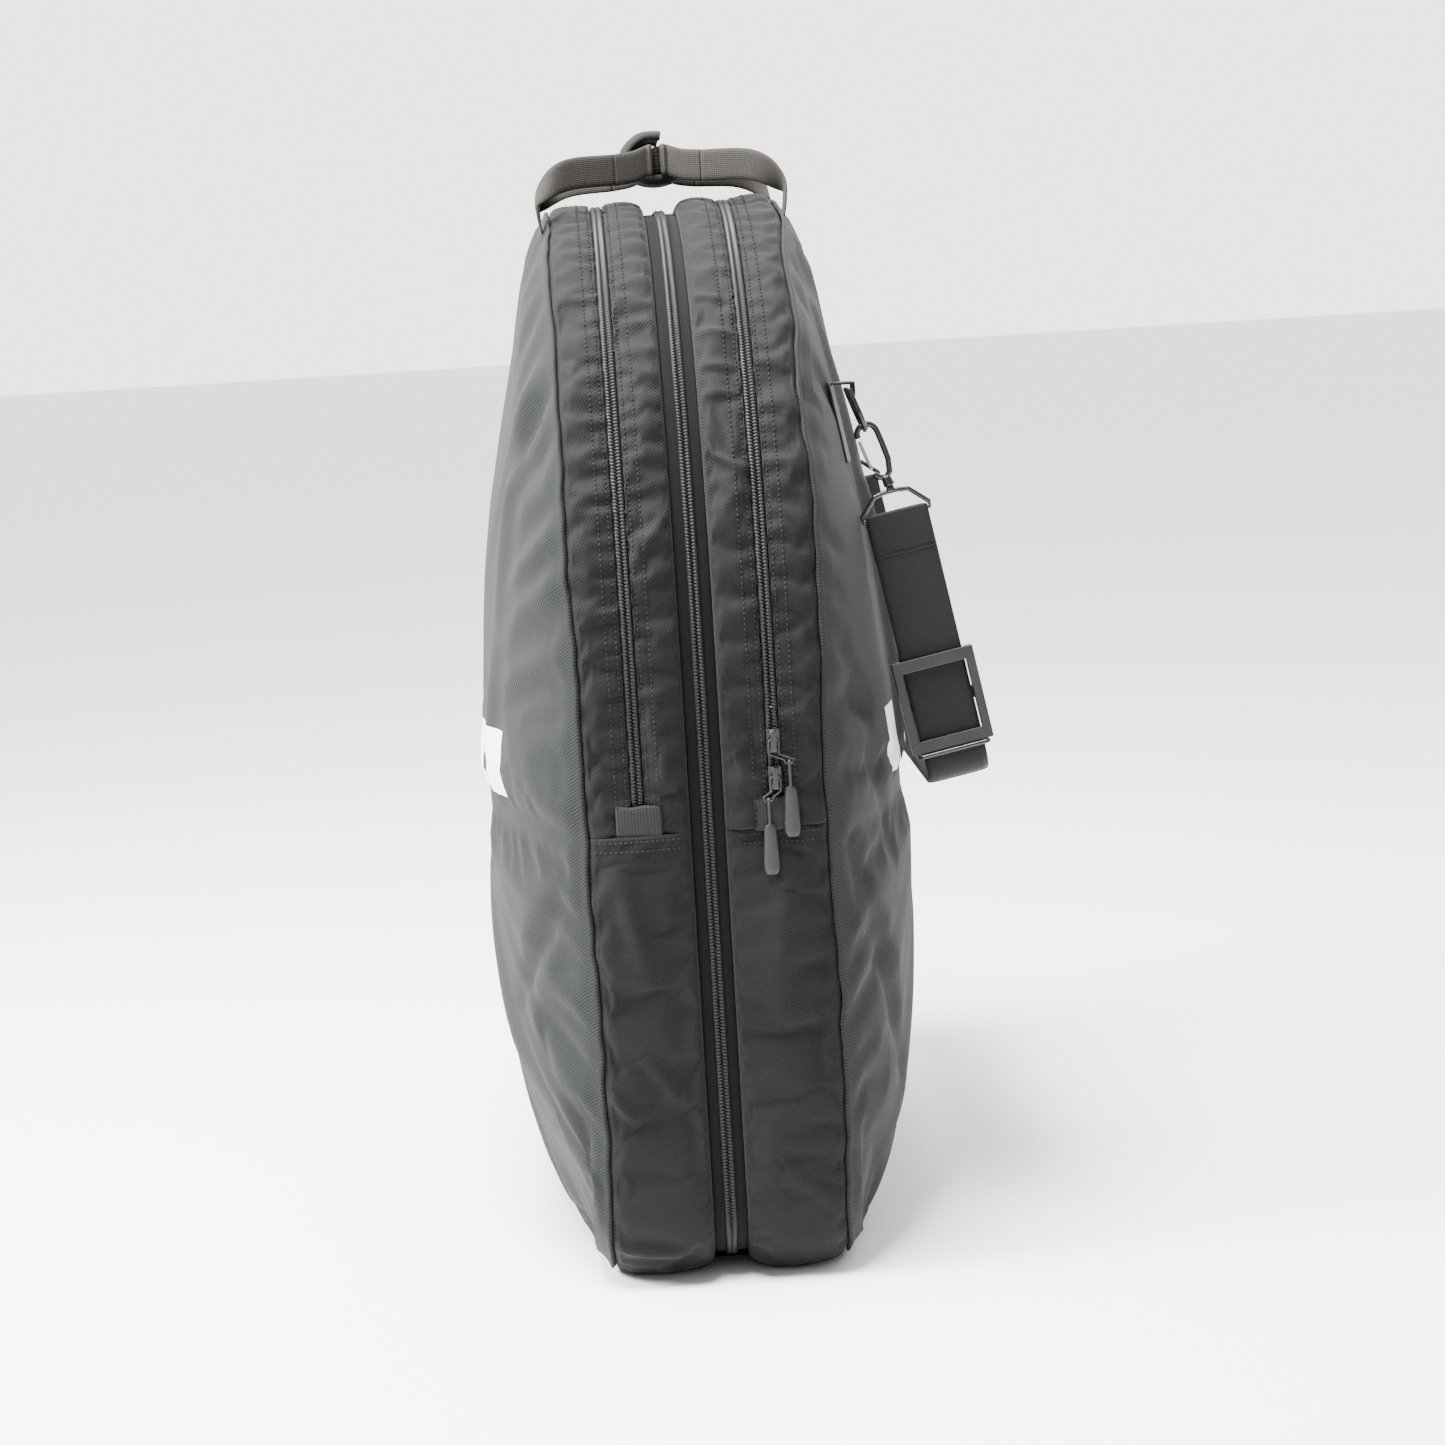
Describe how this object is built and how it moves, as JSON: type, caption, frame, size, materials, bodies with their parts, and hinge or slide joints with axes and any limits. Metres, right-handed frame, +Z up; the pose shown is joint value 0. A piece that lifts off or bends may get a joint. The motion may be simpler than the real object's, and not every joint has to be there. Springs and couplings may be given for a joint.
{
  "type": "skate bag",
  "caption": "Tall padded carry bag with a zipped compartment on each side, a zip between them, a wrapped carry handle and a clip-on shoulder strap with an adjuster",
  "frame": {"origin": "Centre of the base where the bag stands on the floor", "axes": "+Z up, X across the narrow zipped side, Y along the broad faces; the strap is on +X"},
  "size_m": [0.4092, 0.6036, 0.8899],
  "materials": {
    "fabric": "padded grey twill",
    "lining": "plain dark lining",
    "webbing": "ribbed webbing",
    "strap": "smooth dark webbing",
    "coil": "black coil zip on woven tape",
    "metal": "black coated metal",
    "plastic": "dark grey moulded plastic"
  },
  "bodies": {
    "body": {"left_face_lower": "fabric", "left_gusset_inner": "fabric", "left_divider": "lining", "left_zip_inner": "coil", "left_gusset_near": "fabric", "left_gusset_far": "fabric", "left_zip_tab_near": "webbing", "left_zip_tab_far": "webbing", "right_face_lower": "fabric", "right_gusset_inner": "fabric", "right_divider": "lining", "right_zip_inner": "coil", "right_gusset_near": "fabric", "right_gusset_far": "fabric", "right_zip_tab_near": "webbing", "right_zip_tab_far": "webbing", "centre_zip_left": "coil", "centre_zip_right": "coil", "base_panel": "fabric"},
    "left_lid": {"left_face_upper": "fabric", "left_gusset_outer": "fabric", "left_zip_outer": "coil", "left_handle_leg_near": "webbing", "left_handle_leg_far": "webbing"},
    "right_lid": {"right_face_upper": "fabric", "right_gusset_outer": "fabric", "right_zip_outer": "coil", "right_handle_leg_near": "webbing", "right_handle_leg_far": "webbing", "chape_near": "webbing", "chape_far": "webbing"},
    "grip": {"grip_wrap": "fabric", "left_handle_bar": "webbing"},
    "right_grip": {"right_handle_bar": "webbing"},
    "strap": {"d_ring_near": "metal", "d_ring_far": "metal", "hook_near": "metal", "hook_far": "metal", "strap_loop_near": "metal", "strap_loop_far": "metal", "strap_webbing": "strap"},
    "gate_near": {"hook_gate_near": "metal"},
    "gate_far": {"hook_gate_far": "metal"},
    "adjuster": {"strap_adjuster": "plastic", "adjuster_loop": "metal"},
    "right_lower_slide": {"right_lower_slider": "metal"},
    "right_lower_tag": {"right_lower_bail": "metal", "right_lower_pull": "plastic"},
    "right_upper_slide": {"right_upper_slider": "metal"},
    "right_upper_tag": {"right_upper_bail": "metal", "right_upper_pull": "plastic"},
    "left_lower_slide": {"left_lower_slider": "metal"},
    "left_lower_tag": {"left_lower_bail": "metal", "left_lower_pull": "plastic"},
    "left_upper_slide": {"left_upper_slider": "metal"},
    "left_upper_tag": {"left_upper_bail": "metal", "left_upper_pull": "plastic"},
    "centre_slide": {"centre_slider": "metal"},
    "centre_tag": {"centre_bail": "metal", "centre_pull": "plastic"}
  },
  "joints": [
    {"name": "left_lid_open", "type": "hinge", "parent": "body", "child": "left_lid", "pos_m": [-0.1734, 0, 0.358], "axis": [0, -1, 0], "range_deg": [0, 70]},
    {"name": "right_lid_open", "type": "hinge", "parent": "body", "child": "right_lid", "pos_m": [0.1734, 0, 0.358], "axis": [0, 1, 0], "range_deg": [0, 70]},
    {"name": "grip_lift", "type": "slide", "parent": "left_lid", "child": "grip", "axis": [0, 0, 1], "range_m": [-0.008, 0.012], "stiffness_N_per_m": 400, "deforming": ["left_handle_leg_near", "left_handle_leg_far"]},
    {"name": "right_grip_lift", "type": "slide", "parent": "right_lid", "child": "right_grip", "axis": [0, 0, 1], "range_m": [-0.008, 0.012], "deforming": ["right_handle_leg_near", "right_handle_leg_far"]},
    {"name": "strap_swing", "type": "hinge", "parent": "right_lid", "child": "strap", "pos_m": [0.1334, 0, 0.676], "axis": [0, -1, 0], "range_deg": [0, 100]},
    {"name": "gate_near_press", "type": "hinge", "parent": "strap", "child": "gate_near", "pos_m": [0.1492, -0.172, 0.6126], "axis": [0, 1, 0], "range_deg": [0, 20], "stiffness_Nm_per_rad": 0.05, "springref_deg": -5.73},
    {"name": "gate_far_press", "type": "hinge", "parent": "strap", "child": "gate_far", "pos_m": [0.1492, 0.172, 0.6126], "axis": [0, 1, 0], "range_deg": [0, 20], "stiffness_Nm_per_rad": 0.05, "springref_deg": -5.73},
    {"name": "adjuster_slide", "type": "slide", "parent": "strap", "child": "adjuster", "axis": [-0.1908, 0, 0.9816], "range_m": [0, 0.06]},
    {"name": "right_lower_zip", "type": "slide", "parent": "body", "child": "right_lower_slide", "axis": [0, 0, 1], "range_m": [0, 0.006]},
    {"name": "right_lower_tag_swing", "type": "hinge", "parent": "right_lower_slide", "child": "right_lower_tag", "pos_m": [0.052, -0.2984, 0.397], "axis": [-1, 0, 0], "range_deg": [0, 150]},
    {"name": "right_upper_zip", "type": "slide", "parent": "body", "child": "right_upper_slide", "axis": [0, 0, 1], "range_m": [0, 0.035]},
    {"name": "right_upper_tag_swing", "type": "hinge", "parent": "right_upper_slide", "child": "right_upper_tag", "pos_m": [0.052, -0.2984, 0.425], "axis": [-1, 0, 0], "range_deg": [0, 150]},
    {"name": "left_lower_zip", "type": "slide", "parent": "body", "child": "left_lower_slide", "axis": [0, 0, 1], "range_m": [0, 0.006]},
    {"name": "left_lower_tag_swing", "type": "hinge", "parent": "left_lower_slide", "child": "left_lower_tag", "pos_m": [-0.052, 0.2984, 0.397], "axis": [1, 0, 0], "range_deg": [0, 150]},
    {"name": "left_upper_zip", "type": "slide", "parent": "body", "child": "left_upper_slide", "axis": [0, 0, 1], "range_m": [0, 0.035]},
    {"name": "left_upper_tag_swing", "type": "hinge", "parent": "left_upper_slide", "child": "left_upper_tag", "pos_m": [-0.052, 0.2984, 0.425], "axis": [1, 0, 0], "range_deg": [0, 150]},
    {"name": "centre_zip", "type": "slide", "parent": "body", "child": "centre_slide", "axis": [0, 0, 1], "range_m": [-0.2, 0.035]},
    {"name": "centre_tag_swing", "type": "hinge", "parent": "centre_slide", "child": "centre_tag", "pos_m": [0, 0.2914, 0.425], "axis": [1, 0, 0], "range_deg": [0, 150]}
  ],
  "couplings": [
    {"joint": "right_grip_lift", "follows": "grip_lift", "ratio": 1}
  ]
}
